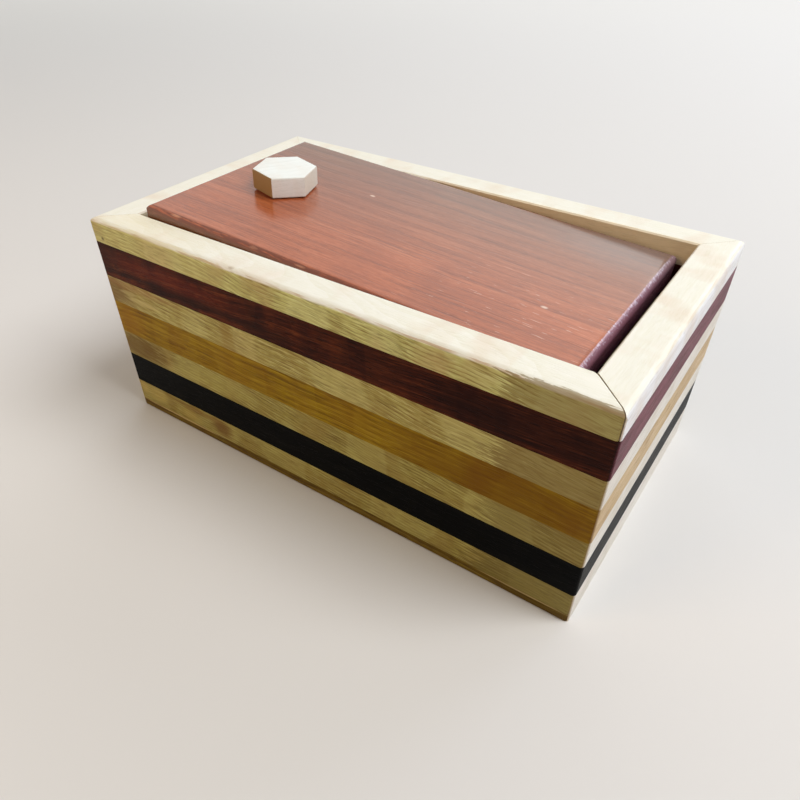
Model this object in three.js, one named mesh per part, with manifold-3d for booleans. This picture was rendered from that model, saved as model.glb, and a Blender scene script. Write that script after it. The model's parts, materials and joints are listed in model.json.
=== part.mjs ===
// Puzzle box in millimetres, +Z up, origin under the middle of the box.
// The front faces -Y and the knob end of the lid is the left, -X.
// Four mitred walls are glued up from seven strips each, so the stripes run round the box.
// The lid swings on two hidden pins, a turn knob works the latch under it, and the base slides out.
import * as THREE from 'three';
import { mergeVertices } from 'three/addons/utils/BufferGeometryUtils.js';
import Module from 'manifold-3d';

const wasm = await Module();
wasm.setup();

// Walls
const BOX_LENGTH = 190;
const BOX_WIDTH = 109;
const WALL = 12;
const RIM_ROUND = 2.3; // outer top edge
const RIM_EASE = 0.5; // inner top edge
const CORNER_EASE = 1.2; // outer upright corners
const MITRE_GAP = 0.05; // glue line, on each side of a mitre
const OPEN_MITRE = { outer: 0.3, inner: 0.5, tip: 2.5 }; // front right: opened, its sharp tip worn off

// Strips of a wall, from the table up
const LAYERS = [
  { name: 'foot', height: 12.8, wood: 'pale' },
  { name: 'black', height: 12.9, wood: 'black' },
  { name: 'lower_pale', height: 10.2, wood: 'pale' },
  { name: 'gold', height: 12.9, wood: 'gold' },
  { name: 'upper_pale', height: 10.2, wood: 'pale' },
  { name: 'red', height: 12.9, wood: 'red' },
  { name: 'rim', height: 8.2, wood: 'pale' },
];

// Sliding base, held by bevelled edges in the side walls
const BASE_LIFT = 0.3; // clear of the table
const BASE_TOP = 3.4;
const BASE_SLIDE_GAP = 0.15; // under the front wall
const BASE_BEVEL_TOP = 2.6; // how far the panel reaches into a side wall, at its top face
const BASE_BEVEL_FOOT = 0.4; // and at its bottom face
const BASE_EDGE_GAP = 0.3;
const BATTEN = { length: 90, width: 5, height: 6, inset: 1.2 };

// False floor in a groove of the black strips
const FLOOR_Z = 16;
const FLOOR_THICK = 3.4;
const FLOOR_GROOVE = { height: 3.5, depth: 4 };
const FLOOR_REACH = 3.8; // how far the floor goes into the groove

// Lid, hung near its right end; its own frame starts at the hinge pins
const PIVOT_X = 55;
const PIVOT_Z = 72.1;
const LID_TILT = THREE.MathUtils.degToRad(3); // knob end up, on its rests
const LID_LEFT = -135.3;
const LID_RIGHT = 23.1;
const LID_THICK = 9.5;
const LID_SIDE_GAP = 0.6;
const LID_ROUND = 2.8;
const LID_CORNER = 1.2; // upright corners
const LID_UNDER_EASE = 0.4;
const PIN_RADIUS = 2;
const PIN_IN_WALL = 7;
const PIN_IN_LID = 6.5;
const PIN_GLUE_GAP = 0.15;
const PIN_TURN_GAP = 0.2;
const PIN_END_GAP = 0.4;
const REST = { length: 7, width: 10, height: 9, gap: 0.3 };

// Knob, shaft and latch, on an axis square to the lid
const KNOB_X = -108;
const KNOB_Y = -0.5;
const KNOB_FLATS = 19.8;
const KNOB_HEIGHT = 7.2;
const KNOB_TURN = THREE.MathUtils.degToRad(47.3);
const KNOB_EASE = 0.7;
const KNOB_SOCKET = 5;
const SHAFT_RADIUS = 4;
const SHAFT_GLUE_GAP = 0.15;
const SHAFT_TURN_GAP = 0.25;
const LATCH_GAP = 0.3; // between knob, lid, washer and bar
const WASHER = { radius: 8, thick: 1 };
const BAR_THICK = 5;
const BAR_HUB_RADIUS = 8;
const BAR_TIP_RADIUS = 5;
const BAR_REACH = 35; // axis to tip
const WEDGE = { width: 1.6, tip: 0.7, height: 6, kerfGap: 0.15 };
const POCKET_END_GAP = 0.8;
const POCKET_MIDDLE = 4; // depth in the wall at which the level pocket and the tilted bar agree
const POCKET_SIDE_GAP = 0.6;

const EASE_STEPS = 3; // facets on an eased corner
const ROUND_STEPS = 8; // facets on a quarter round
const CIRCLE_STEPS = 32;
const PAST = 1; // how far a cutting shape runs past the face it cuts

const WOODS = {
  pale: { color: '#e3cf9e', roughness: 0.5 },
  red: { color: '#5e2018', roughness: 0.45 },
  gold: { color: '#b67d25', roughness: 0.5 },
  black: { color: '#17130f', roughness: 0.4 },
  base: { color: '#8a5a26', roughness: 0.5 },
  floor: { color: '#cdb487', roughness: 0.7 },
  lid: { color: '#a14a2b', roughness: 0.35 },
  knob: { color: '#efe2c6', roughness: 0.5 },
  dowel: { color: '#dcc79b', roughness: 0.6 },
  latch: { color: '#7a3b20', roughness: 0.5 },
};
const LEATHER = { color: '#6b4a2f', roughness: 0.8 };
const BRASS = { color: '#b08d45', roughness: 0.35, metalness: 1 };

const insideX = BOX_LENGTH / 2 - WALL;
const insideY = BOX_WIDTH / 2 - WALL;

const lidGroup = new THREE.Group();
lidGroup.position.set(PIVOT_X, 0, PIVOT_Z);
lidGroup.rotation.y = LID_TILT;
lidGroup.updateMatrix();

// Solids and cuts
function solidOf(geometry) {
  const plain = geometry.clone();
  plain.deleteAttribute('normal');
  plain.deleteAttribute('uv');
  const merged = mergeVertices(plain, 1e-4);
  return new wasm.Manifold(new wasm.Mesh({
    numProp: 3,
    vertProperties: new Float32Array(merged.attributes.position.array),
    triVerts: new Uint32Array(merged.index.array),
  }));
}

function geometryOf(solid) {
  const mesh = solid.getMesh();
  const geometry = new THREE.BufferGeometry();
  geometry.setAttribute('position', new THREE.BufferAttribute(mesh.vertProperties, 3));
  geometry.setIndex(new THREE.BufferAttribute(mesh.triVerts, 1));
  geometry.computeVertexNormals();
  return geometry;
}

function cut(geometry, ...tools) {
  return geometryOf(tools.reduce((solid, tool) => solid.subtract(solidOf(tool)), solidOf(geometry)));
}

function common(first, second) {
  return geometryOf(solidOf(first).intersect(solidOf(second)));
}

function piece(name, geometry, finish) {
  const mesh = new THREE.Mesh(geometry, new THREE.MeshStandardMaterial(finish));
  mesh.name = name;
  return mesh;
}

function polygon(points) {
  return new THREE.Shape(points.map(([x, y]) => new THREE.Vector2(x, y)));
}

// An outline in x and y, raised along z
function raise(shape, height, curveSegments = ROUND_STEPS) {
  return new THREE.ExtrudeGeometry(shape, { depth: height, bevelEnabled: false, curveSegments });
}

// An outline in y and z, run along x and centred on x = 0
function runAlongX(shape, length) {
  const turn = new THREE.Matrix4().makeBasis(
    new THREE.Vector3(0, 1, 0),
    new THREE.Vector3(0, 0, 1),
    new THREE.Vector3(1, 0, 0),
  );
  return raise(shape, length).applyMatrix4(turn).translate(-length / 2, 0, 0);
}

// An outline in x and z, run along y and centred on y = 0
function runAlongY(shape, length) {
  return raise(shape, length).rotateX(Math.PI / 2).translate(0, length / 2, 0);
}

function block(x0, x1, y0, y1, z0, z1) {
  return new THREE.BoxGeometry(x1 - x0, y1 - y0, z1 - z0)
    .translate((x0 + x1) / 2, (y0 + y1) / 2, (z0 + z1) / 2);
}

function rod(radius, z0, z1) {
  return new THREE.CylinderGeometry(radius, radius, z1 - z0, CIRCLE_STEPS)
    .rotateX(Math.PI / 2).translate(0, 0, (z0 + z1) / 2);
}

function rodAlongY(radius, y0, y1) {
  return new THREE.CylinderGeometry(radius, radius, y1 - y0, CIRCLE_STEPS)
    .translate(0, (y0 + y1) / 2, 0);
}

// Plan of a wall strip: outer face on y = 0, inner face on y = WALL, mitred ends
function stripPlan(length, mitre = { outer: MITRE_GAP, inner: MITRE_GAP, tip: 0 }) {
  const left = -length / 2 + MITRE_GAP;
  const right = length / 2 - mitre.outer;
  const innerRight = length / 2 - mitre.inner - WALL;
  const back = mitre.tip * Math.SQRT1_2;
  const shape = new THREE.Shape();
  shape.moveTo(innerRight + back, WALL - back);
  if (mitre.tip) shape.quadraticCurveTo(innerRight, WALL, innerRight - mitre.tip, WALL);
  shape.lineTo(left + WALL, WALL);
  shape.absarc(left + CORNER_EASE, CORNER_EASE, CORNER_EASE, Math.PI * 1.25, Math.PI * 1.5);
  shape.absarc(right - CORNER_EASE, CORNER_EASE, CORNER_EASE, Math.PI * 1.5, Math.PI * 1.75);
  shape.closePath();
  return shape;
}

// Section of the top strip in y and z: rounded outside, eased inside
function rimSection(height) {
  const shape = new THREE.Shape();
  shape.moveTo(WALL, 0);
  shape.lineTo(WALL, height - RIM_EASE);
  shape.lineTo(WALL - RIM_EASE, height);
  shape.absarc(RIM_ROUND, height - RIM_ROUND, RIM_ROUND, Math.PI / 2, Math.PI);
  shape.lineTo(0, 0);
  shape.closePath();
  return shape;
}

// Groove of the sliding base in a side wall, in y and z
function bevelGroove() {
  const ceiling = BASE_TOP + BASE_SLIDE_GAP;
  const top = WALL - BASE_BEVEL_TOP - BASE_EDGE_GAP;
  const foot = WALL - BASE_BEVEL_FOOT - BASE_EDGE_GAP;
  const slope = (foot - top) / ceiling;
  return polygon([
    [foot + slope * PAST, -PAST], [WALL + PAST, -PAST], [WALL + PAST, ceiling], [top, ceiling],
  ]);
}

// Blind hole of a hinge pin, in a strip that starts at height z
function pinHole(x, z) {
  return rodAlongY(PIN_RADIUS + PIN_GLUE_GAP, WALL - PIN_IN_WALL - PIN_END_GAP, WALL + PAST)
    .translate(x, 0, PIVOT_Z - z);
}

// Pocket that the latch bar turns into: the slice that a disc cutter leaves in the left wall
function latchPocket(z) {
  const barMiddle = latchTop() - BAR_THICK / 2;
  const axis = new THREE.Vector3(KNOB_X, KNOB_Y, barMiddle).applyMatrix4(lidGroup.matrix);
  const middleX = -insideX - POCKET_MIDDLE;
  const atWall = axis.z + Math.tan(LID_TILT) * (axis.x - middleX);
  const half = BAR_THICK / 2 + POCKET_SIDE_GAP;
  return rod(BAR_REACH + POCKET_END_GAP, -half, half)
    .translate(-axis.y, BOX_LENGTH / 2 + axis.x, atWall - z);
}

function latchTop() {
  return -LID_THICK / 2 - LATCH_GAP - WASHER.thick - LATCH_GAP;
}

function stripGeometry(wall, layer, z) {
  const onFront = wall.name === 'front';
  const z0 = onFront && layer.name === 'foot' ? BASE_TOP + BASE_SLIDE_GAP : z;
  const height = z + layer.height - z0;
  const onRim = layer.name === 'rim';
  const plan = stripPlan(wall.length, onRim && onFront ? OPEN_MITRE : undefined);
  let geometry = raise(plan, height, EASE_STEPS);
  const tools = [];
  if (onRim) geometry = common(geometry, runAlongX(rimSection(height), wall.length));
  if (layer.name === 'foot' && wall.side) tools.push(runAlongX(bevelGroove(), wall.length));
  if (layer.name === 'black') {
    const low = FLOOR_Z - z0;
    tools.push(block(-wall.length, wall.length, WALL - FLOOR_GROOVE.depth, WALL + PAST,
      low, low + FLOOR_GROOVE.height));
  }
  if (onRim || layer.name === 'red') {
    if (!wall.side) tools.push(pinHole(wall.pinX, z0));
    if (wall.name === 'left') tools.push(latchPocket(z0));
  }
  if (tools.length) geometry = cut(geometry, ...tools);
  return geometry.translate(0, 0, z0);
}

function makeWalls() {
  const walls = [
    { name: 'front', length: BOX_LENGTH, turn: 0, out: BOX_WIDTH / 2, pinX: PIVOT_X },
    { name: 'right', length: BOX_WIDTH, turn: Math.PI / 2, out: BOX_LENGTH / 2, side: true },
    { name: 'back', length: BOX_LENGTH, turn: Math.PI, out: BOX_WIDTH / 2, pinX: -PIVOT_X },
    { name: 'left', length: BOX_WIDTH, turn: -Math.PI / 2, out: BOX_LENGTH / 2, side: true },
  ];
  const group = new THREE.Group();
  for (const wall of walls) {
    const wallGroup = new THREE.Group();
    wallGroup.rotation.z = wall.turn;
    let z = 0;
    for (const layer of LAYERS) {
      const name = `${wall.name}_${layer.name}_strip`;
      const strip = piece(name, stripGeometry(wall, layer, z), WOODS[layer.wood]);
      strip.position.y = -wall.out;
      wallGroup.add(strip);
      z += layer.height;
    }
    group.add(wallGroup);
  }
  return group;
}

function makeFloor() {
  const x = insideX + FLOOR_REACH;
  const y = insideY + FLOOR_REACH;
  return piece('inner_floor', block(-x, x, -y, y, FLOOR_Z, FLOOR_Z + FLOOR_THICK), WOODS.floor);
}

function makePins() {
  const group = new THREE.Group();
  const inner = insideY - LID_SIDE_GAP - PIN_IN_LID;
  for (const [name, side] of [['front', -1], ['back', 1]]) {
    const ends = [side * inner, side * (insideY + PIN_IN_WALL)].sort((a, b) => a - b);
    const pin = piece(`hinge_pin_${name}`, rodAlongY(PIN_RADIUS, ...ends), BRASS);
    pin.position.set(PIVOT_X, 0, PIVOT_Z);
    group.add(pin);
  }
  return group;
}

// Height of the lid's underside above the box's foot, at a place x along the box
function lidUnderside(x) {
  return PIVOT_Z + Math.tan(LID_TILT) * (PIVOT_X - x) - LID_THICK / 2 / Math.cos(LID_TILT);
}

// Small blocks in the left corners that the knob end of the lid comes down on
function makeRests() {
  const group = new THREE.Group();
  const x0 = -insideX;
  const x1 = x0 + REST.length;
  const top0 = lidUnderside(x0) - REST.gap;
  const top1 = lidUnderside(x1) - REST.gap;
  const section = polygon([[x0, top0 - REST.height], [x1, top0 - REST.height], [x1, top1], [x0, top0]]);
  for (const [name, side] of [['front', -1], ['back', 1]]) {
    const rest = piece(`lid_rest_${name}`, runAlongY(section, REST.width), WOODS.pale);
    rest.position.y = side * (insideY - REST.width / 2);
    group.add(rest);
  }
  return group;
}

function makeBase() {
  const group = new THREE.Group();
  const height = BASE_TOP - BASE_LIFT;
  const lip = piece('base_lip', raise(stripPlan(BOX_LENGTH), height, EASE_STEPS), WOODS.base);
  lip.position.set(0, -BOX_WIDTH / 2, BASE_LIFT);

  const wide = insideX + BASE_BEVEL_TOP;
  const narrow = insideX + BASE_BEVEL_FOOT;
  const section = polygon([[-narrow, 0], [narrow, 0], [wide, height], [-wide, height]]);
  const depth = 2 * insideY - BASE_EDGE_GAP;
  const panel = piece('base_panel', runAlongY(section, depth), WOODS.base);
  panel.position.set(0, -BASE_EDGE_GAP / 2, BASE_LIFT);

  const back = insideY - BATTEN.inset;
  const batten = piece('base_stop_batten', block(-BATTEN.length / 2, BATTEN.length / 2,
    back - BATTEN.width, back, BASE_TOP, BASE_TOP + BATTEN.height), WOODS.base);
  group.add(lip, panel, batten);
  return group;
}

// Section through the whole lid, from edge to edge: rounded on top, eased below
function lidSection(halfWidth) {
  const top = LID_THICK / 2;
  const shape = new THREE.Shape();
  shape.moveTo(-halfWidth + LID_UNDER_EASE, -top);
  shape.lineTo(halfWidth - LID_UNDER_EASE, -top);
  shape.lineTo(halfWidth, -top + LID_UNDER_EASE);
  shape.absarc(halfWidth - LID_ROUND, top - LID_ROUND, LID_ROUND, 0, Math.PI / 2);
  shape.absarc(-halfWidth + LID_ROUND, top - LID_ROUND, LID_ROUND, Math.PI / 2, Math.PI);
  shape.lineTo(-halfWidth, -top + LID_UNDER_EASE);
  shape.closePath();
  return shape;
}

// Plan of the lid with its upright corners taken off
function lidPlan(halfX, halfY) {
  const x = halfX - LID_CORNER;
  const y = halfY - LID_CORNER;
  const shape = new THREE.Shape();
  shape.absarc(x, y, LID_CORNER, 0, Math.PI / 2);
  shape.absarc(-x, y, LID_CORNER, Math.PI / 2, Math.PI);
  shape.absarc(-x, -y, LID_CORNER, Math.PI, Math.PI * 1.5);
  shape.absarc(x, -y, LID_CORNER, Math.PI * 1.5, Math.PI * 2);
  shape.closePath();
  return shape;
}

function makeLid() {
  const length = LID_RIGHT - LID_LEFT;
  const width = 2 * (insideY - LID_SIDE_GAP);
  const middle = (LID_LEFT + LID_RIGHT) / 2;
  const lengthwise = runAlongX(lidSection(width / 2), length + 2 * PAST);
  const crosswise = runAlongY(lidSection(length / 2), width + 2 * PAST);
  const upright = raise(lidPlan(length / 2, width / 2), 2 * LID_THICK).translate(0, 0, -LID_THICK);
  const panel = common(common(lengthwise, crosswise), upright).translate(middle, 0, 0);
  const hole = rodAlongY(PIN_RADIUS + PIN_TURN_GAP, width / 2 - PIN_IN_LID - PIN_END_GAP, width);
  const shaftHole = rod(SHAFT_RADIUS + SHAFT_TURN_GAP, -LID_THICK, LID_THICK)
    .translate(KNOB_X, KNOB_Y, 0);
  return piece('lid', cut(panel, hole, hole.clone().rotateX(Math.PI), shaftHole), WOODS.lid);
}

function knobGeometry() {
  const shape = new THREE.Shape();
  const radius = (KNOB_FLATS / 2 - KNOB_EASE) / Math.cos(Math.PI / 6);
  for (let i = 0; i < 6; i++) {
    const angle = KNOB_TURN + i * Math.PI / 3;
    const corner = [radius * Math.cos(angle), radius * Math.sin(angle)];
    if (i === 0) shape.moveTo(...corner);
    else shape.lineTo(...corner);
  }
  shape.closePath();
  const hexagon = new THREE.ExtrudeGeometry(shape, {
    depth: KNOB_HEIGHT - 2 * KNOB_EASE,
    bevelThickness: KNOB_EASE,
    bevelSize: KNOB_EASE,
    bevelSegments: 2,
  }).translate(0, 0, KNOB_EASE);
  return cut(hexagon, rod(SHAFT_RADIUS + SHAFT_GLUE_GAP, -PAST, KNOB_SOCKET));
}

// Turn button: a round hub and a smaller round tip, joined by straight sides
function barGeometry() {
  const tipY = BAR_REACH - BAR_TIP_RADIUS;
  const lean = Math.asin((BAR_HUB_RADIUS - BAR_TIP_RADIUS) / tipY);
  const shape = new THREE.Shape();
  shape.absarc(0, 0, BAR_HUB_RADIUS, Math.PI - lean, 2 * Math.PI + lean);
  shape.absarc(0, tipY, BAR_TIP_RADIUS, lean, Math.PI - lean);
  shape.closePath();
  const bar = raise(shape, BAR_THICK, CIRCLE_STEPS / 2);
  return cut(bar, rod(SHAFT_RADIUS + SHAFT_GLUE_GAP, -PAST, BAR_THICK + PAST));
}

function wedgeSection(gap) {
  const foot = WEDGE.width / 2 + gap;
  const tip = WEDGE.tip / 2 + gap;
  return polygon([[-foot, -gap], [foot, -gap], [tip, WEDGE.height + gap], [-tip, WEDGE.height + gap]]);
}

// Knob, dowel shaft, washer, latch bar and the wedge that locks the bar, in the axis's own frame
function makeLatch() {
  const group = new THREE.Group();
  group.position.set(KNOB_X, KNOB_Y, 0);
  const knobFoot = LID_THICK / 2 + LATCH_GAP;
  const barFoot = latchTop() - BAR_THICK;
  const shaftTop = knobFoot + KNOB_SOCKET - LATCH_GAP;

  const knob = piece('knob', knobGeometry(), WOODS.knob);
  knob.position.z = knobFoot;

  const ring = cut(rod(WASHER.radius, 0, WASHER.thick),
    rod(SHAFT_RADIUS + SHAFT_TURN_GAP, -PAST, WASHER.thick + PAST));
  const washer = piece('latch_washer', ring, LEATHER);
  washer.position.z = latchTop() + LATCH_GAP;

  const bar = piece('latch_bar', barGeometry(), WOODS.latch);
  bar.position.z = barFoot;

  const kerf = runAlongY(wedgeSection(WEDGE.kerfGap), 4 * SHAFT_RADIUS);
  const dowel = cut(rod(SHAFT_RADIUS, 0, shaftTop - barFoot), kerf);
  const shaft = piece('knob_shaft', dowel, WOODS.dowel);
  shaft.position.z = barFoot;

  const wedgeBlock = common(runAlongY(wedgeSection(0), 4 * SHAFT_RADIUS),
    rod(SHAFT_RADIUS - WEDGE.kerfGap, -PAST, WEDGE.height + PAST));
  const wedge = piece('shaft_wedge', wedgeBlock, WOODS.lid);
  wedge.position.z = barFoot;

  group.add(knob, washer, bar, shaft, wedge);
  return group;
}

lidGroup.add(makeLid(), makeLatch());

const box = new THREE.Group();
box.add(makeWalls(), makeFloor(), makePins(), makeRests(), makeBase(), lidGroup);

export default box;
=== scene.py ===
import json
import math

import bmesh
import bpy
from mathutils import Matrix, Vector

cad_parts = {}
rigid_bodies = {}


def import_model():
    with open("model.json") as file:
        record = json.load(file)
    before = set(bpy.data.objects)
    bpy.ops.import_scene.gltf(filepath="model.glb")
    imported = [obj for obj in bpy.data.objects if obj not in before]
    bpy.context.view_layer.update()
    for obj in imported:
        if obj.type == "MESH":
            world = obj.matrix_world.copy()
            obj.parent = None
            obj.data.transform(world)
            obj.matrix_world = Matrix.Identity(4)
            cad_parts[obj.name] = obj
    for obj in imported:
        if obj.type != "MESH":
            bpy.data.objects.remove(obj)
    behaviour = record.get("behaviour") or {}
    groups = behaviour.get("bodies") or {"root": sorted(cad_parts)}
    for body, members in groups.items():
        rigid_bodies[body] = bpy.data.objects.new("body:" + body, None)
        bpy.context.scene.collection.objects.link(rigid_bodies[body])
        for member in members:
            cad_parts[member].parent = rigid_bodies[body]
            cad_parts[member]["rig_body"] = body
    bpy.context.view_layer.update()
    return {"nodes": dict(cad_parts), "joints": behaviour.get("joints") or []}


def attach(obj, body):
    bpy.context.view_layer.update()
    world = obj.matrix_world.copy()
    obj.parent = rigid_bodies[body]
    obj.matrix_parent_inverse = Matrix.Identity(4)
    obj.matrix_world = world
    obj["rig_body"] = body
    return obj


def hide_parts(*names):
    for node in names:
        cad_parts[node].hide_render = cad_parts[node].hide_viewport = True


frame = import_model()
nodes = frame["nodes"]
print("frame loaded:", len(nodes), "nodes")

mm = 0.001
joints = {joint["name"]: joint for joint in frame["joints"]}
lidHinge = Vector(joints["lid_swing"]["pos_m"])
lidTilt = math.asin(joints["knob_turn"]["axis"][0])   # the lid rests with its knob end up


# Helpers
def linear(hexColor):
    channels = [int(hexColor[i:i + 2], 16) / 255 for i in (0, 2, 4)]
    return tuple(c / 12.92 if c <= 0.04045 else ((c + 0.055) / 1.055) ** 2.4 for c in channels) + (1,)


def addNode(tree, kind, values=None):
    # Sockets among the values are linked, the others are set
    node = tree.nodes.new("ShaderNode" + kind)
    for name, value in (values or {}).items():
        if name == "stops":
            elements = node.color_ramp.elements
            while len(elements) < len(value):
                elements.new(0.5)
            for element, (place, color) in zip(elements, value):
                element.position, element.color = place, linear(color)
        elif isinstance(value, bpy.types.NodeSocket):
            tree.links.new(value, node.inputs[name])
        elif isinstance(name, int) or name in node.inputs:
            node.inputs[name].default_value = value
        else:
            setattr(node, name, value)
    return node


def newMaterial(name):
    material = bpy.data.materials.new(name)
    material.use_nodes = True
    tree = material.node_tree
    tree.nodes.clear()
    shader = addNode(tree, "BsdfPrincipled")
    addNode(tree, "OutputMaterial", {"Surface": shader.outputs["BSDF"]})
    return material, tree, shader


def layWash(tree, color, wash, share, *limits):
    # A colour with a wash laid over it where every value is past its edge: where that starts, where it is full
    for value, (start, full) in limits:
        share = addNode(tree, "MapRange", {
            "Value": value, "From Min": start, "From Max": full, "To Max": share}).outputs[0]
    wash = linear(wash) if isinstance(wash, str) else wash
    return addNode(tree, "Mix", {"data_type": "RGBA", 0: share, 6: color, 7: wash}).outputs[2]


def onLid(x, y, z):
    # From the lid's own frame, in mm, to its place at rest
    return lidHinge + Matrix.Rotation(lidTilt, 3, "Y") @ (Vector((x, y, z)) * mm)


def dress(node, material):
    slots = nodes[node].data.materials
    slots.clear()
    slots.append(material)


smoothing = {"merge": 0.002, "round": 25}   # mm between points that are one, degrees that still look round


def smoothCopy(node, material, name):
    # A merged copy of a CAD piece, shaded round where it is round
    source = nodes[node]
    mesh = source.data.copy()
    mesh.name = name
    work = bmesh.new()
    work.from_mesh(mesh)
    bmesh.ops.remove_doubles(work, verts=work.verts, dist=smoothing["merge"] * mm)
    for face in work.faces:
        face.smooth = True
    for edge in work.edges:
        edge.smooth = len(edge.link_faces) == 2 and edge.calc_face_angle(0) < math.radians(smoothing["round"])
    work.to_mesh(mesh)
    work.free()
    piece = bpy.data.objects.new(name, mesh)
    bpy.context.scene.collection.objects.link(piece)
    mesh.materials.clear()
    mesh.materials.append(material)
    weighted = piece.modifiers.new("flatFacesFirst", "WEIGHTED_NORMAL")
    weighted.keep_sharp = True
    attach(piece, source["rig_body"])
    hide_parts(node)


# Camera, floor and light
view = {
    "place": (0.11767, -0.17936, 0.17368),
    "turn": (48.646, -0.053, 34.450),   # degrees
    "lens": 30.22,
    "shift": (0.0066, 0.0545),
    "nearest": 0.005,   # metres
}
studio = {
    "floor": ("DEDCD8", 0.8, 5),   # colour, roughness, metres from the box to its edge
    "paper": (0.45, 2.2),   # metres from the box where the paper starts and ends to run into the wall
    "room": ("FFFFFF", 0.18),   # colour and strength of the light that comes from all round
    "wall": ("F2F0EA", 1.0),   # the pale wall that the camera and the polish see
    "glare": ((0.23, 0.87, 0.40), 0.60, 1.1),   # where that wall is brighter, where that starts, by how much
    "aim": (0, 0, 0.04),   # what the lamps point at
    "lamps": {   # place in metres, size, watts, colour, seen in the polish
        "windowLamp": ((1.25, 0.33, 1.68), (1.2, 1.2), 39.0, "FCFDFF", True),
        "sideWindow": ((0.66, 1.84, 0.86), (0.8, 0.8), 7.0, "DCE5FF", True),
        "backFill": ((-0.58, 1.43, 0.80), (1.6, 1.0), 8.0, "FAFCFF", False),
        "frontFill": ((-0.46, -0.70, 0.48), (0.5, 0.5), 2.3, "FFD49C", False),
    },
}


def seenRays(tree):
    # 1 for what the camera sees, straight or in a polish, and 0 for the light on the box
    path = addNode(tree, "LightPath").outputs
    seen = addNode(tree, "Math", {"operation": "ADD", 0: path["Is Camera Ray"], 1: path["Is Glossy Ray"]})
    return addNode(tree, "Math", {"operation": "ADD", "use_clamp": True, 0: seen.outputs[0],
                                  1: path["Is Transmission Ray"]}).outputs[0]


def makeCamera():
    camera = bpy.data.objects.new("camera", bpy.data.cameras.new("camera"))
    camera.location = view["place"]
    camera.rotation_euler = [math.radians(turn) for turn in view["turn"]]
    camera.data.lens = view["lens"]
    camera.data.shift_x, camera.data.shift_y = view["shift"]
    camera.data.clip_start = view["nearest"]
    bpy.context.scene.collection.objects.link(camera)
    bpy.context.scene.camera = camera
    bpy.context.scene.view_settings.view_transform = "Standard"


def makeFloor():
    # Matt paper: pale and even, without a sheen, so that it keeps the soft shadow of the box
    floorColor, roughness, reach = studio["floor"]
    work = bmesh.new()
    bmesh.ops.create_grid(work, x_segments=1, y_segments=1, size=reach)
    mesh = bpy.data.meshes.new("floor")
    work.to_mesh(mesh)
    work.free()
    floor = bpy.data.objects.new("floor", mesh)
    bpy.context.scene.collection.objects.link(floor)
    material, tree, shader = newMaterial("mattPaperFloor")
    shader.inputs["Base Color"].default_value = linear(floorColor)
    shader.inputs["Roughness"].default_value = roughness

    # far from the box the paper runs into the pale wall
    wallColor, wallStrength = studio["wall"]
    near, away = studio["paper"]
    far = addNode(tree, "VectorMath", {"operation": "LENGTH", 0: addNode(tree, "TexCoord").outputs["Object"]})
    far = addNode(tree, "MapRange", {"interpolation_type": "SMOOTHSTEP", "Value": far.outputs["Value"],
                                     "From Min": near, "From Max": away})
    far = addNode(tree, "Math", {"operation": "MULTIPLY", 0: far.outputs[0], 1: seenRays(tree)})
    wall = addNode(tree, "Emission", {"Color": linear(wallColor), "Strength": wallStrength})
    both = addNode(tree, "MixShader", {0: far.outputs[0], 1: shader.outputs["BSDF"], 2: wall.outputs[0]})
    output = next(node for node in tree.nodes if node.type == "OUTPUT_MATERIAL")
    tree.links.new(both.outputs[0], output.inputs["Surface"])
    mesh.materials.append(material)


def makeLamps():
    for name, (place, size, power, color, seen) in studio["lamps"].items():
        lamp = bpy.data.lights.new(name, "AREA")
        lamp.shape = "RECTANGLE"
        lamp.size, lamp.size_y = size
        lamp.energy = power
        lamp.color = linear(color)[:3]
        lampObject = bpy.data.objects.new(name, lamp)
        lampObject.location = place
        lampObject.visible_glossy = seen
        aim = Vector(studio["aim"]) - Vector(place)
        lampObject.rotation_euler = aim.to_track_quat("-Z", "Y").to_euler()
        bpy.context.scene.collection.objects.link(lampObject)


def makeRoom():
    roomColor, roomStrength = studio["room"]
    wallColor, wallStrength = studio["wall"]
    direction, start, extra = studio["glare"]
    world = bpy.data.worlds.new("room")
    world.use_nodes = True
    tree = world.node_tree
    tree.nodes.clear()
    room = addNode(tree, "Background", {"Color": linear(roomColor), "Strength": roomStrength})
    toward = addNode(tree, "VectorMath", {
        "operation": "DOT_PRODUCT", 0: addNode(tree, "TexCoord").outputs["Generated"],
        1: Vector(direction).normalized()})
    glare = addNode(tree, "MapRange", {"interpolation_type": "SMOOTHSTEP", "Value": toward.outputs["Value"],
                                       "From Min": start, "From Max": 1.0, "To Max": extra})
    glossy = addNode(tree, "LightPath").outputs["Is Glossy Ray"]
    glare = addNode(tree, "Math", {
        "operation": "MULTIPLY_ADD", 0: glare.outputs[0], 1: glossy, 2: wallStrength})
    wall = addNode(tree, "Background", {"Color": linear(wallColor), "Strength": glare.outputs[0]})
    both = addNode(tree, "MixShader", {0: seenRays(tree), 1: room.outputs[0], 2: wall.outputs[0]})
    addNode(tree, "OutputWorld", {"Surface": both.outputs[0]})
    bpy.context.scene.world = world


makeCamera()
makeFloor()
makeLamps()
makeRoom()
print("studio ready")

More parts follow.
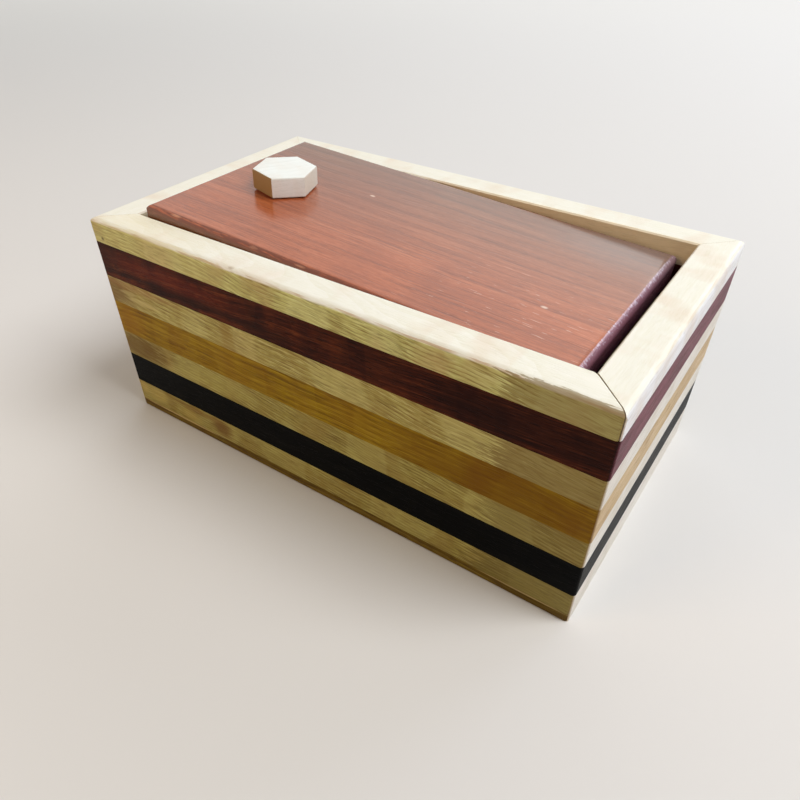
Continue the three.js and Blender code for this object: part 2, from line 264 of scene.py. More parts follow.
# Woods. Sizes are mm, shares run from 0 to 1
# ring: from one year to the next, share of the tone; wander: how far the grain strays
# broad, fibre, fine: length and width of a streak, share of the tone
# pore: length, width, how rare, share, colour; real ones are 0.1 to 0.3 wide, drawn wider so that they show
# flame: size of the darker blotches, share, colour; block: length of the paler ones, share
# end: colour and share on end grain, and endEdge where that starts on a slanted face and where it is full
# roughness: on a fibre and between two; coat: weight and roughness; bump: height of the fibres
woods = {
    "oiledAsh": {   # planed and oiled: a fine brown line for every year, dashes of pores, slow blotches
        "ring": (1.3, 0.22), "wander": 4.6,
        "broad": (22, 3.0, 0.34), "fibre": (7, 0.42, 0.52), "fine": (3, 0.28, 0.36),
        "pore": (8, 0.40, 0.575, 0.42, "6E5A26"), "flame": (11, 0.40, "9A8040"), "block": (26, 0.3),
        "end": ("A88750", 0.55), "roughness": (0.36, 0.50), "specular": 0.12, "coat": (0.0, 0.30),
        "bump": 0.035,
    },
    "oiledPurpleheart": {   # planed and oiled: brown red, soft darker mottle, hardly any pores
        "ring": (3.0, 0.12), "wander": 3,
        "broad": (60, 2.2, 0.62), "fibre": (14, 0.5, 0.34), "fine": (3, 0.30, 0.40),
        "pore": (5, 0.40, 0.60, 0.60, "100403"), "flame": (12, 0.60, "1C0806"), "block": (9, 0.1),
        "end": ("260C0A", 0.6), "roughness": (0.36, 0.48), "specular": 0.06, "coat": (0.0, 0.25),
        "bump": 0.04,
    },
    "oiledIroko": {   # planed and oiled: golden brown, short olive lines
        "ring": (2.2, 0.18), "wander": 3,
        "broad": (34, 2.2, 0.42), "fibre": (16, 0.42, 0.34), "fine": (4, 0.28, 0.44),
        "pore": (16, 0.36, 0.59, 0.34, "523606"), "flame": (14, 0.40, "7A4A12"), "block": (12, 0.15),
        "end": ("6E4812", 0.55), "roughness": (0.38, 0.50), "specular": 0.07, "coat": (0.0, 0.30),
        "bump": 0.04,
    },
    "oiledEbony": {   # planed and oiled: near black, faint brown lines
        "ring": (5.0, 0.1), "wander": 3,
        "broad": (30, 2.5, 0.4), "fibre": (10, 0.5, 0.5), "fine": (3, 0.3, 0.4),
        "pore": (4, 0.3, 0.62, 0.4, "020202"), "flame": (14, 0.2, "080606"), "block": (9, 0.0),
        "end": ("060505", 0.5), "roughness": (0.38, 0.50), "specular": 0.03, "coat": (0.0, 0.25),
        "bump": 0.035,
    },
    "oiledWalnut": {   # planed and oiled: warm brown or dark red, open straight grain
        "ring": (3.0, 0.25), "wander": 3,
        "broad": (35, 2.2, 0.4), "fibre": (10, 0.5, 0.5), "fine": (4, 0.3, 0.4),
        "pore": (6, 0.36, 0.58, 0.5, "3E240A"), "flame": (16, 0.3, "5A3814"), "block": (10, 0.1),
        "end": ("5A3810", 0.5), "roughness": (0.42, 0.56), "specular": 0.10, "coat": (0.0, 0.3),
        "bump": 0.045,
    },
    "varnishedPadauk": {   # wiped with varnish: deep orange brown, long soft darker streaks, a clear shine
        "ring": (5.5, 0.12), "wander": 2,
        "broad": (90, 2.4, 0.46), "fibre": (14, 0.70, 0.20), "fine": (2.6, 0.36, 0.36),
        "pore": (85, 0.50, 0.60, 0.48, "5A2414"), "flame": (30, 0.25, "7A3A24"), "block": (20, 0.0),
        # end: paler than the end grain is, as painted light that the right rail throws into the gap
        "end": ("86586A", 0.94), "roughness": (0.38, 0.50), "specular": 0.2, "coat": (1.0, 0.17),
        "bump": 0.05,
    },
    "sandedHolly": {   # sanded and left bare: chalk white, hardly any grain, brown where it was sawn across; that brown, on the knob's left face, is painted shade
        "ring": (1.6, 0.12), "wander": 2,
        "broad": (12, 1.2, 0.3), "fibre": (6, 0.4, 0.3), "fine": (2, 0.25, 0.3),
        "pore": (2, 0.2, 0.66, 0.15, "C9B99C"), "flame": (6, 0.15, "E2D2BC"), "block": (5, 0.0),
        "end": ("A28450", 0.95), "endEdge": (0.6, 0.9), "roughness": (0.50, 0.62), "specular": 0.3,
        "coat": (0.0, 0.3), "bump": 0.02,
    },
    "plainBirch": {   # sanded, without a finish: straw coloured, dry and matt
        "ring": (5.0, 0.25), "wander": 4,
        "broad": (50, 3.0, 0.4), "fibre": (16, 0.6, 0.45), "fine": (5, 0.3, 0.3),
        "pore": (4, 0.28, 0.62, 0.35, "94743F"), "flame": (16, 0.3, "B4915C"), "block": (12, 0.2),
        "end": ("A98A58", 0.5), "roughness": (0.58, 0.72), "specular": 0.3, "coat": (0.0, 0.3),
        "bump": 0.04,
    },
}
anyWood = {   # what all of them share. An edge is where a wash starts to show, and where it is full
    "drift": (45, 22),   # mm along and across the grain over which it strays
    "ringStep": 0.314,   # mm between the wave texture's rings at a scale of 1
    "ringWaver": {"Distortion": 1.6, "Detail": 1.0, "Detail Scale": 0.6},
    "detail": {"broad": 2.0, "fibre": 2.0, "fine": 1.0, "pore": 1.0, "block": 0.0},   # of the streaks
    "streakRoughness": 0.6,
    "tones": (0.28, 0.5, 0.72),   # where the dark, the middle and the light tint stand
    "flameTurn": (0, 28, 20),   # degrees from the grain
    "flameEdge": (0.42, 0.64),
    "blockWidth": 40,
    "blockEdge": (0.51, 0.54),
    "poreEdge": 0.06,
    "poreDepth": 1.5,   # against the height of the fibres
    "endEdge": (0.20, 0.60),
    "fibreEdge": (0.3, 0.7),   # between dull and smooth
    "relief": 0.7,
    "ior": 1.5,
    "markTorn": 1.2,   # how far the fibres tear the border of a mark
    "markReach": 1.4,
    "markEdge": 0.35,   # how soft it is, if the mark doesn't say
}

# Boards of one wood differ in tint: dark, middle, light. The ash tints of the front and the right wall also
# hold painted shade and painted light on one and the same ash
tints = {
    "ashYellow": ("9C8850", "CAC57C", "E4E4A2"),
    "ashGolden": ("80643A", "B0A259", "D4CC88"),
    "ashHoney": ("6E562C", "9B8C44", "C0B66C"),
    "ashCream": ("CDBD8E", "E2D6B4", "ECE3CC"),
    "ashStraw": ("BEAB76", "D6C795", "E4D8B0"),
    "ashChalk": ("D7D4D4", "E4E2E2", "EAE8EC"),
    "ashPutty": ("CDC6BA", "DBD5CB", "E3DED7"),
    "ashBleached": ("ECE9D6", "F1EFE0", "F5F3E7"),
    "redBrown": ("200A04", "4A1C0B", "743A1C"),
    "redPurple": ("3C141B", "642835", "804250"),
    "ironGold": ("684606", "93740C", "B29424"),
    "paleGold": ("9D7F4F", "C2A67C", "D4BE9F"),
    "warmGold": ("8A6828", "B48C40", "C8A45C"),
    "warmRed": ("34120C", "5A2520", "783C34"),
    "black": ("020303", "050505", "0F0E0C"),
    "brown": ("4E370B", "6D5616", "867027"),
    "walnutBrown": ("4C3216", "6C4A26", "86643A"),
    "orangeBrown": ("803A1C", "AA552A", "C06C42"),
    "greyBrown": ("4A2C1B", "603B26", "724B32"),
    "darkRed": ("3A1810", "5E2A1C", "7A3A28"),
    "white": ("E4E8E2", "F0F4EF", "F6F9F5"),
    "straw": ("B2935F", "CDB182", "DFC9A0"),
}

grainTurns = {   # degrees that bring the grain onto x; the lean tips it in the board's face
    "x": lambda lean: (0, lean, 0),
    "y": lambda lean: (lean, 0, -90),
    "z": lambda lean: (0, 90, lean),
    "lid": lambda lean: (0, -math.degrees(lidTilt), lean),
    "knob": lambda lean: (0, 0, -60 + lean),   # the knob's grain runs 60 degrees from the lid's, which turns the brown end grain, a painted shade, onto its left face
}
endFacings = {   # the way that the end grain faces
    "x": (1, 0, 0), "y": (0, 1, 0), "z": (0, 0, 1), "lid": (1, 0, 0), "knob": (0.5, 0.866, 0),
}


def toneStops(tint):
    return tuple(zip(anyWood["tones"], tints[tint]))


def streaks(tree, grain, length, width, detail):
    # Noise drawn out along the grain
    squeezed = addNode(tree, "VectorMath", {
        "operation": "MULTIPLY", 0: grain, 1: (1 / length, 1 / width, 1 / width)})
    return addNode(tree, "TexNoise", {"Vector": squeezed.outputs[0], "Scale": 1.0, "Detail": detail,
                                      "Roughness": anyWood["streakRoughness"]}).outputs["Fac"]


def layGrain(tree, spot, wander, run, shift, lean):
    # Places in mm with the grain on x. It wanders slowly along the board
    place = addNode(tree, "Mapping", {
        "Vector": spot, "Location": shift, "Scale": (1 / mm,) * 3,
        "Rotation": [math.radians(turn) for turn in grainTurns[run](lean)],
    }).outputs[0]
    along, across = anyWood["drift"]
    drift = addNode(tree, "VectorMath", {
        "operation": "MULTIPLY", 0: place, 1: (1 / along, 1 / across, 1 / across)})
    drift = addNode(tree, "TexNoise", {"Vector": drift.outputs[0], "Scale": 1.0, "Detail": 1.0})
    return addNode(tree, "VectorMath", {
        "operation": "MULTIPLY_ADD", 0: drift.outputs["Color"], 1: (0, wander, 1.5 * wander), 2: place,
    }).outputs[0]


def mixTone(tree, grain, fibre, wood, figure):
    # Yearly rings round a far heart, then streaks of three sizes, added up to one tone
    period, ringShare = wood["ring"]
    rings = addNode(tree, "TexWave", {
        "wave_type": "RINGS", "rings_direction": "X", "wave_profile": "SAW", "Vector": grain,
        "Scale": anyWood["ringStep"] / period, **anyWood["ringWaver"],
    }).outputs["Fac"]
    layers = [
        (ringShare * figure, rings),
        (wood["broad"][2], streaks(tree, grain, *wood["broad"][:2], anyWood["detail"]["broad"])),
        (wood["fibre"][2], fibre),
        (wood["fine"][2], streaks(tree, grain, *wood["fine"][:2], anyWood["detail"]["fine"])),
    ]
    tone = 0.5 - sum(share for share, _ in layers) / 2
    for share, layer in layers:
        tone = addNode(tree, "Math", {"operation": "MULTIPLY_ADD", 0: layer, 1: share, 2: tone}).outputs[0]
    return tone


def paintTop(tree, color, top, normal, grain, tone, flame, figure):
    # A paler top, partly painted light, with a torn border, tan flames on it, and a tan band along the arris
    border, tan, arris = top["border"], top["flame"], top["arris"]
    facing = addNode(tree, "SeparateXYZ", {0: normal}).outputs
    pale = addNode(tree, "ValToRGB", {"Fac": tone, "stops": toneStops(top["tint"])}).outputs[0]
    torn = addNode(tree, "Math", {"operation": "MULTIPLY_ADD", 0: streaks(tree, grain, *border["streak"]),
                                  1: border["torn"] * figure, 2: facing["Z"]}).outputs[0]
    color = layWash(tree, color, pale, 1.0, (torn, border["edge"]))
    color = layWash(tree, color, tan["color"], tan["share"], (flame, tan["edge"]))
    band = addNode(tree, "Math", {"operation": "COMPARE", 0: torn, 1: arris["middle"], 2: arris["reach"]})
    return layWash(tree, color, arris["color"], arris["share"] * figure, (band.outputs[0], (0, 1)),
                   (streaks(tree, grain, *arris["streak"]), arris["edge"]))


def paintVarnish(tree, color, varnish, place, normal, grain):
    # What has settled on and in a varnish, with pale specks on the end grain that are a painted highlight
    chalk, burnt, flank, dust = (varnish[name] for name in ("chalk", "burnt", "flank", "dust"))
    facing = addNode(tree, "SeparateXYZ", {0: normal}).outputs
    side = addNode(tree, "Math", {"operation": "ABSOLUTE", 0: facing["Y"]}).outputs[0]
    color = layWash(tree, color, chalk["color"], chalk["share"], (place["X"], chalk["x"]),
                    (place["Y"], chalk["y"]), (streaks(tree, grain, *chalk["streak"]), chalk["edge"]))
    color = layWash(tree, color, burnt["color"], burnt["share"], (side, burnt["turned"]),
                    (streaks(tree, grain, *burnt["streak"]), burnt["edge"]))
    color = layWash(tree, color, flank["color"], flank["share"], (side, flank["turned"]))
    return layWash(tree, color, dust["color"], dust["share"], (facing["X"], dust["turned"]),
                   (facing["X"], dust["upright"]), (streaks(tree, grain, *dust["streak"]), dust["edge"]))


def paintMarks(tree, color, patches, spot, fibre):
    # Single marks: round each place, in mm, with a border torn by the fibres
    for patch in patches:
        away = addNode(tree, "VectorMath", {"operation": "SUBTRACT", 0: spot,
                                            1: [p * mm for p in patch["place"]]})
        away = addNode(tree, "VectorMath", {"operation": "DIVIDE", 0: away.outputs[0],
                                            1: [s * mm for s in patch["size"]]})
        away = addNode(tree, "VectorMath", {"operation": "LENGTH", 0: away.outputs[0]})
        ragged = addNode(tree, "Math", {"operation": "MULTIPLY_ADD", 0: fibre, 1: anyWood["markTorn"],
                                        2: away.outputs["Value"]})
        reach, soft = anyWood["markReach"], patch.get("edge", anyWood["markEdge"])
        color = layWash(tree, color, patch["color"], patch["share"],
                        (ragged.outputs[0], (reach + soft, reach - soft)))
    return color


def woodMaterial(name, kind, tint, run="x", shift=(0, 0, 0), lean=0, patches=(), figure=1.0, top=None,
                 varnish=None):
    # figure: how strongly the rings, blotches and pores show; top and varnish: what the one or the other shows
    wood = woods[kind]
    material, tree, shader = newMaterial(f"{kind}_{name}")
    coordinates = addNode(tree, "TexCoord").outputs
    spot, normal = coordinates["Object"], coordinates["Normal"]
    grain = layGrain(tree, spot, wood["wander"], run, shift, lean)
    fibre = streaks(tree, grain, *wood["fibre"][:2], anyWood["detail"]["fibre"])
    tone = mixTone(tree, grain, fibre, wood, figure)
    color = addNode(tree, "ValToRGB", {"Fac": tone, "stops": toneStops(tint)}).outputs[0]
    if varnish:
        # painted shade: the board darker and greyer towards the back
        back = varnish["back"]
        place = addNode(tree, "SeparateXYZ", {0: spot}).outputs
        shadedBack = addNode(tree, "ValToRGB", {"Fac": tone, "stops": toneStops(back["tint"])}).outputs[0]
        color = layWash(tree, color, shadedBack, back["share"], (place["Y"], back["y"]))

    # darker and paler blotches, then the pores
    length, share, flameColor = wood["flame"]
    leant = addNode(tree, "Mapping", {
        "Vector": grain, "Rotation": [math.radians(turn) for turn in anyWood["flameTurn"]],
        "Scale": (1 / length, 0.5 / length, 0.5 / length)})
    flame = addNode(tree, "TexNoise", {"Vector": leant.outputs[0], "Scale": 1.0, "Detail": 2.0}).outputs["Fac"]
    color = layWash(tree, color, flameColor, share * figure, (flame, anyWood["flameEdge"]))
    length, share = wood["block"]
    block = streaks(tree, grain, length, anyWood["blockWidth"], anyWood["detail"]["block"])
    color = layWash(tree, color, tints[tint][2], share * figure, (block, anyWood["blockEdge"]))
    length, width, level, share, poreColor = wood["pore"]
    pores = addNode(tree, "MapRange", {
        "Value": streaks(tree, grain, length, width, anyWood["detail"]["pore"]),
        "From Min": level, "From Max": level + anyWood["poreEdge"]}).outputs[0]
    color = layWash(tree, color, poreColor, share * figure, (pores, (0, 1)))
    if top:
        color = paintTop(tree, color, top, normal, grain, tone, flame, figure)

    # end grain drinks the finish and goes dark; on the knob that brown is painted shade, and the lid's end
    # tint is made paler as painted light
    endColor, share = wood["end"]
    start, full = wood.get("endEdge", anyWood["endEdge"])
    along = addNode(tree, "VectorMath", {"operation": "DOT_PRODUCT", 0: normal, 1: endFacings[run]})
    along = addNode(tree, "Math", {"operation": "ABSOLUTE", 0: along.outputs["Value"]})
    end = addNode(tree, "MapRange", {"Value": along.outputs[0], "From Min": start, "From Max": full,
                                     "To Max": share}).outputs[0]
    color = layWash(tree, color, endColor, end)
    if varnish:
        color = paintVarnish(tree, color, varnish, place, normal, grain)
    color = paintMarks(tree, color, patches, spot, fibre)

    # the fibres stand up and shine, the pores lie deep
    smooth, rough = wood["roughness"]
    low, high = anyWood["fibreEdge"]
    gloss = addNode(tree, "MapRange", {"Value": fibre, "From Min": low, "From Max": high,
                                       "To Min": rough, "To Max": smooth})
    height = addNode(tree, "Math", {"operation": "MULTIPLY_ADD", 0: pores, 1: -anyWood["poreDepth"], 2: fibre})
    bump = addNode(tree, "Bump", {"Strength": anyWood["relief"], "Distance": wood["bump"] * mm,
                                  "Height": height.outputs[0]})
    tree.links.new(color, shader.inputs["Base Color"])
    tree.links.new(gloss.outputs[0], shader.inputs["Roughness"])
    tree.links.new(bump.outputs[0], shader.inputs["Normal"])
    shader.inputs["IOR"].default_value = anyWood["ior"]
    shader.inputs["Specular IOR Level"].default_value = wood["specular"]
    shader.inputs["Coat Weight"].default_value, shader.inputs["Coat Roughness"].default_value = wood["coat"]
    if varnish:   # it fills the pores of the face, but not those of the end grain
        film = varnish["film"]
        uneven = addNode(tree, "MapRange", {"Value": end, "To Min": film["face"], "To Max": film["end"]})
        coat = addNode(tree, "Bump", {"Strength": uneven.outputs[0], "Distance": film["depth"] * mm,
                                      "Height": fibre})
        tree.links.new(coat.outputs[0], shader.inputs["Coat Normal"])
    return material


# Walls: seven layers on each of four walls
layerWoods = {
    "foot": "oiledAsh", "black": "oiledEbony", "lower_pale": "oiledAsh", "gold": "oiledIroko",
    "upper_pale": "oiledAsh", "red": "oiledPurpleheart", "rim": "oiledAsh",
}
wallTints = {   # grain direction, lean of the grain, how strong the figure is, then tints from the foot up
    # front: the darker, yellower ash tints, darkest towards the foot, are painted shade
    "front": ("x", -6, 1.0, (
        "ashHoney", "black", "ashHoney", "ironGold", "ashGolden", "redBrown", "ashYellow")),
    # right: the paler, greyer ash tints are painted light and painted sheen
    "right": ("y", 0, 0.4, (
        "ashPutty", "black", "ashPutty", "paleGold", "ashPutty", "redPurple", "ashChalk")),
    "back": ("x", 2, 0.6, (
        "ashStraw", "black", "ashCream", "warmGold", "ashCream", "warmRed", "ashCream")),
    "left": ("y", -3, 0.6, (
        "ashStraw", "black", "ashStraw", "warmGold", "ashCream", "warmRed", "ashCream")),
}
logCuts = {   # where each board lay in its log, so that no two look alike: mm, how much that varies, how fast
    "along": 137.0,
    "behind": (44, 12, 2.1),   # the heart behind the board's face
    "above": (34, 8, 1.7),   # the heart above the board's foot
    "lean": (2, 1.3),   # degrees
    "plainLean": 1,   # degrees, of the coloured woods
}
rimTop = {   # face grain, paler than the edge grain on the rim's side, and paler also as painted light where the faces turn up; streaks: length and width in mm, detail
    "tint": "ashBleached",
    "border": {"streak": (20, 1.6, 2.0), "torn": 0.36, "edge": (0.62, 0.80)},
    "flame": {"edge": (0.50, 0.70), "share": 0.22, "color": "D9AE84"},
    "arris": {   # a tan band where the round of the arris turns down from the top, in patches
        "streak": (14, 2, 2.0), "middle": 0.82, "reach": 0.10, "edge": (0.44, 0.60), "share": 0.6,
        "color": "B88C5C",
    },
}
boardPatches = {   # marks of single boards, in mm, and on the front painted shade at the right ends; edge is how soft their border is
    "front_rim_strip": [   # a pin knot, a bruise, a greyer tan band on the arris, a darker right end that is painted shade and a paler left end that is painted light, yellower oil on top
        {"place": (-89.9, -54.5, 73.7), "size": (0.8, 0.8, 0.7), "share": 0.85, "color": "3A2A12"},
        {"place": (-28.6, -53.2, 79.6), "size": (1.4, 0.7, 0.5), "share": 0.4, "color": "8A6A46"},
        {"place": (88, -53.7, 79.3), "size": (22, 1.3, 0.7), "share": 0.5, "color": "B49A78"},
        {"place": (83, -54.5, 75), "size": (24, 2, 30), "share": 0.62, "color": "86703E", "edge": 0.07},
        {"place": (-62, -54.5, 75), "size": (36, 2, 30), "share": 0.25, "color": "D8C888", "edge": 0.05},
        {"place": (-76, -47, 80.5), "size": (28, 8, 2), "share": 0.28, "color": "EFDDA4", "edge": 0.7},
    ],
    "front_red_strip": [   # a darker lower edge, a redder left, and a darker right that is painted shade
        {"place": (-48, -54.5, 62.2), "size": (60, 2, 1.7), "share": 0.6, "color": "1E0A06"},
        {"place": (-60, -54.5, 67), "size": (30, 2, 4), "share": 0.25, "color": "7E2C20"},
        {"place": (68, -54.5, 66), "size": (44, 2, 9), "share": 0.75, "color": "1C0806"},
    ],
    "front_upper_pale_strip": [   # a brown left end with pale curls, a light and a dark band, a dark right end that is painted shade
        {"place": (-92, -54.5, 53.5), "size": (12, 2, 8), "share": 0.75, "color": "745020"},
        {"place": (-80, -54.5, 57.5), "size": (24, 2, 2), "share": 0.35, "color": "A8784E"},
        {"place": (-77, -54.5, 52.6), "size": (10, 2, 1.3), "share": 0.5, "color": "D8C888", "edge": 0.2},
        {"place": (-84, -54.5, 54.5), "size": (5, 2, 1.0), "share": 0.4, "color": "D8C888", "edge": 0.2},
        {"place": (-27, -54.5, 54), "size": (6, 2, 30), "share": 0.2, "color": "DCCB8C", "edge": 0.12},
        {"place": (-35, -54.5, 54), "size": (3.5, 2, 30), "share": 0.3, "color": "94702E", "edge": 0.2},
        {"place": (85, -54.5, 54), "size": (26, 2, 30), "share": 0.66, "color": "7A6030", "edge": 0.06},
    ],
    "front_gold_strip": [   # an orange left end, a browner right half that is painted shade
        {"place": (-89, -54.5, 42), "size": (10, 2, 8), "share": 0.3, "color": "B07C18"},
        {"place": (70, -54.5, 41), "size": (50, 2, 12), "share": 0.6, "color": "6C4104"},
    ],
    "front_lower_pale_strip": [   # a brown left end, two pale places, a dark right end that is painted shade
        {"place": (-86, -54.5, 30.5), "size": (18, 2, 7), "share": 0.75, "color": "684608"},
        {"place": (-70, -54.5, 29), "size": (2, 2, 6), "share": 0.2, "color": "C8B068", "edge": 0.5},
        {"place": (-46, -54.5, 31), "size": (20, 2, 5), "share": 0.35, "color": "BEB464"},
        {"place": (83, -54.5, 31), "size": (26, 2, 30), "share": 0.5, "color": "746030", "edge": 0.07},
    ],
    "front_foot_strip": [   # the brown shadow of a knot, pale places round it, a dark right end that is painted shade
        {"place": (-48, -54.5, 8.5), "size": (6, 2, 4.5), "share": 0.7, "color": "6E441A"},
        {"place": (-60, -54.5, 10.8), "size": (13, 2, 1.8), "share": 0.45, "color": "80561E"},
        {"place": (-76, -54.5, 8), "size": (3.5, 2, 10), "share": 0.35, "color": "80601E"},
        {"place": (-84, -54.5, 9), "size": (8, 2, 4), "share": 0.35, "color": "CDB25C"},
        {"place": (-66, -54.5, 7), "size": (7, 2, 3), "share": 0.35, "color": "CDB25C"},
        {"place": (-92, -54.5, 10), "size": (3, 2, 3), "share": 0.4, "color": "D6BC6C"},
        {"place": (83, -54.5, 8), "size": (26, 2, 30), "share": 0.55, "color": "665628", "edge": 0.07},
    ],
    "back_rim_strip": [   # painted light: a paler wash on the inner side, which lies in shade
        {"place": (45, 42.5, 76), "size": (90, 1.2, 9), "share": 0.7, "color": "FFF0CE"},
    ],
}


def makeWalls():
    heights = {layer: nodes[f"front_{layer}_strip"].bound_box[0][2] / mm for layer in layerWoods}
    behind, behindVaries, behindPace = logCuts["behind"]
    above, aboveVaries, abovePace = logCuts["above"]
    leanVaries, leanPace = logCuts["lean"]
    board = 0
    for wall, (run, lean, figure, colors) in wallTints.items():
        for (layer, kind), tint in zip(layerWoods.items(), colors):
            board += 1
            node = f"{wall}_{layer}_strip"
            shift = (board * logCuts["along"], behind + behindVaries * math.sin(board * behindPace),
                     above + aboveVaries * math.cos(board * abovePace) - heights[layer])
            boardLean = lean if kind == "oiledAsh" else logCuts["plainLean"]
            boardLean += leanVaries * math.sin(board * leanPace)
            material = woodMaterial(node, kind, tint, run, shift, boardLean, boardPatches.get(node, ()),
                                    figure, top=rimTop if layer == "rim" else None)
            if layer == "rim":
                smoothCopy(node, material, node + "_sanded")
            else:
                dress(node, material)


makeWalls()
print("walls dressed")

lidLook = {
    "board": {   # shift of the grain in mm, lean in degrees
        "name": "lid", "kind": "varnishedPadauk", "tint": "orangeBrown", "run": "lid",
        "shift": (40, 30, -52), "lean": 0.5,
    },
    "marks": (   # mm in the lid's own frame
        {   # pale grit in the varnish
            "at": ((-79.9, 14.1), (2.1, -16.1)), "z": 4.75, "size": (1.1, 0.6, 0.6), "share": 0.65,
            "color": "F4D8C4",
        },
        {   # bare wood where the front arris is chipped
            "at": ((-120.9, -41.0), (-85.8, -41.2), (-66.8, -41.1)), "z": 4.6, "size": (3.0, 0.8, 0.6),
            "share": 0.9, "color": "E0A078",
        },
        {   # painted reflection of the pale wall, greying the back corner
            "at": ((14, 36),), "z": 4.75, "size": (26, 15, 4), "share": 0.32, "color": "8C9092", "edge": 0.7,
        },
    ),
    "varnish": {   # x and y in metres; turned: how far a face is turned to that side; streaks as in rimTop
        "back": {"y": (-0.020, 0.040), "share": 0.90, "tint": "greyBrown"},   # painted shade: darker and greyer towards the back
        "chalk": {   # polish dried white in a few pores, near the front right
            "x": (0.01, 0.04), "y": (0.005, -0.012), "streak": (6, 0.38, 1.0), "edge": (0.72, 0.745),
            "share": 0.55, "color": "F0CDB8",
        },
        "burnt": {   # a dark broken line on the round of the long edges, near the top
            "turned": (0.12, 0.30), "streak": (7, 0.9, 2.0), "edge": (0.34, 0.50), "share": 0.9,
            "color": "6C3012",
        },
        "flank": {"turned": (0.70, 0.90), "share": 0.75, "color": "74421A"},   # greyer where they turn upright
        "dust": {   # painted highlight: pale specks of sparkle on the rounded end grain over the hinge
            "turned": (0.20, 0.35), "upright": (0.90, 0.75), "streak": (2, 0.9, 1.0), "edge": (0.56, 0.64),
            "share": 0.42, "color": "CFC4D4",
        },
        "film": {"depth": 0.4, "face": 0.08, "end": 1.0},   # how uneven it lies: mm, and how much of that
    },
}


def makeLid():
    patches = [{**mark, "place": onLid(x, y, mark["z"]) / mm}
               for mark in lidLook["marks"] for x, y in mark["at"]]
    material = woodMaterial(**lidLook["board"], patches=patches, varnish=lidLook["varnish"])
    smoothCopy("lid", material, "lid_board")


latchLook = {   # shift of the grain in mm
    "knob": {"name": "knob", "kind": "sandedHolly", "tint": "white", "run": "knob", "shift": (3, 5, 9)},
    "knob_shaft": {"name": "shaft", "kind": "plainBirch", "tint": "straw", "run": "z", "shift": (11, 2, 6)},
    "latch_bar": {"name": "bar", "kind": "oiledWalnut", "tint": "darkRed", "run": "y", "shift": (60, 30, 20)},
    "shaft_wedge": {"name": "wedge", "kind": "oiledWalnut", "tint": "darkRed", "run": "z", "shift": (5, 3, 2)},
}


def makeLatch():
    for node, look in latchLook.items():
        if node == "knob":
            smoothCopy(node, woodMaterial(**look), "knob_block")
        else:
            dress(node, woodMaterial(**look))


insideLook = {   # shift of the grain in mm
    "inner_floor": {"name": "false_floor", "kind": "plainBirch", "tint": "straw", "shift": (70, 50, 10)},
    "lid_rest_front": {"name": "rest_front", "kind": "oiledAsh", "tint": "ashCream", "shift": (33, 44, 55)},
    "lid_rest_back": {"name": "rest_back", "kind": "oiledAsh", "tint": "ashCream", "shift": (88, 44, 55)},
    "base_lip": {
        "name": "base_lip", "kind": "oiledWalnut", "tint": "brown", "shift": (15, 25, 35),
        "patches": (   # a darker right end that is painted shade, then a light line along the upper arris that is a painted highlight
            {"place": (84, -54.5, 1.5), "size": (20, 2, 4), "share": 0.5, "color": "4A3408"},
            {"place": (-70, -54.5, 3.3), "size": (26, 0.9, 0.6), "share": 0.8, "color": "D8C084", "edge": 0.2},
            {"place": (78, -54.5, 3.3), "size": (20, 0.9, 0.5), "share": 0.55, "color": "D8C084", "edge": 0.2},
        ),
    },
    "base_panel": {
        "name": "base_panel", "kind": "oiledWalnut", "tint": "walnutBrown", "shift": (15, 25, 35),
    },
    "base_stop_batten": {
        "name": "base_stop_batten", "kind": "oiledWalnut", "tint": "walnutBrown", "shift": (15, 25, 35),
    },
}


def makeInside():
    for node, look in insideLook.items():
        dress(node, woodMaterial(**look))


pinLook = {
    "line": (0.15, 6),   # width and length in mm
    "stops": ((0.3, "8C6A2C"), (0.7, "C7A257")),
    "roughness": (0.25, 0.45),
    "relief": (0.3, 0.02),   # strength, mm
}


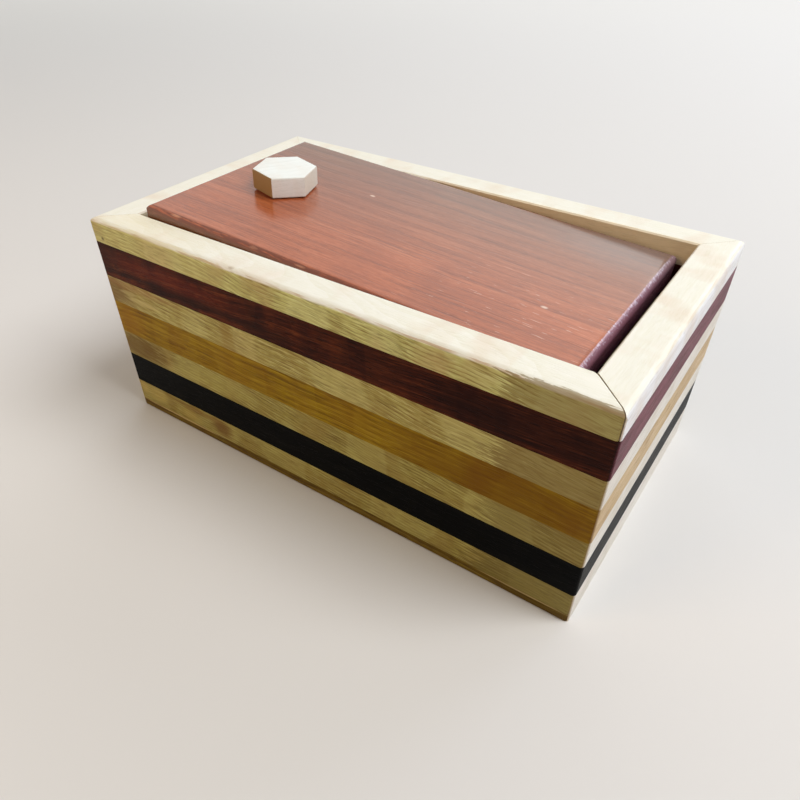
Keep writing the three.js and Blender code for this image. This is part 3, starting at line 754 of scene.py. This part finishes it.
def brassMaterial():
    # Drawn brass rod: warm yellow metal with fine lines along the pin, dulled by handling
    material, tree, shader = newMaterial("drawnBrass")
    width, length = pinLook["line"]
    low, high = pinLook["roughness"]
    strength, depth = pinLook["relief"]
    lines = addNode(tree, "Mapping", {"Vector": addNode(tree, "TexCoord").outputs["Object"],
                                      "Scale": (1 / mm / width, 1 / mm / length, 1 / mm / width)})
    lines = addNode(tree, "TexNoise", {"Vector": lines.outputs[0], "Scale": 1.0, "Detail": 3.0}).outputs["Fac"]
    color = addNode(tree, "ValToRGB", {"Fac": lines, "stops": pinLook["stops"]})
    rough = addNode(tree, "MapRange", {"Value": lines, "To Min": low, "To Max": high})
    bump = addNode(tree, "Bump", {"Strength": strength, "Distance": depth * mm, "Height": lines})
    tree.links.new(color.outputs[0], shader.inputs["Base Color"])
    tree.links.new(rough.outputs[0], shader.inputs["Roughness"])
    tree.links.new(bump.outputs[0], shader.inputs["Normal"])
    shader.inputs["Metallic"].default_value = 1.0
    return material


washerLook = {
    "cell": 0.625,   # mm
    "stops": ((0.1, "4A3220"), (0.7, "7A5636")),
    "roughness": 0.65,
    "relief": (0.5, 0.06),   # strength, mm
}


def leatherMaterial():
    # Leather, vegetable tanned and waxed: mid brown with small creased cells and a dull sheen
    material, tree, shader = newMaterial("tannedLeather")
    strength, depth = washerLook["relief"]
    cells = addNode(tree, "TexVoronoi", {"Vector": addNode(tree, "TexCoord").outputs["Object"],
                                         "Scale": 1 / (washerLook["cell"] * mm)}).outputs["Distance"]
    color = addNode(tree, "ValToRGB", {"Fac": cells, "stops": washerLook["stops"]})
    bump = addNode(tree, "Bump", {"Strength": strength, "Distance": depth * mm, "Height": cells})
    tree.links.new(color.outputs[0], shader.inputs["Base Color"])
    tree.links.new(bump.outputs[0], shader.inputs["Normal"])
    shader.inputs["Roughness"].default_value = washerLook["roughness"]
    return material


makeLid()
makeLatch()
makeInside()
dress("latch_washer", leatherMaterial())
pinMetal = brassMaterial()
for end in ("front", "back"):
    dress("hinge_pin_" + end, pinMetal)
print("lid, latch and inside dressed")
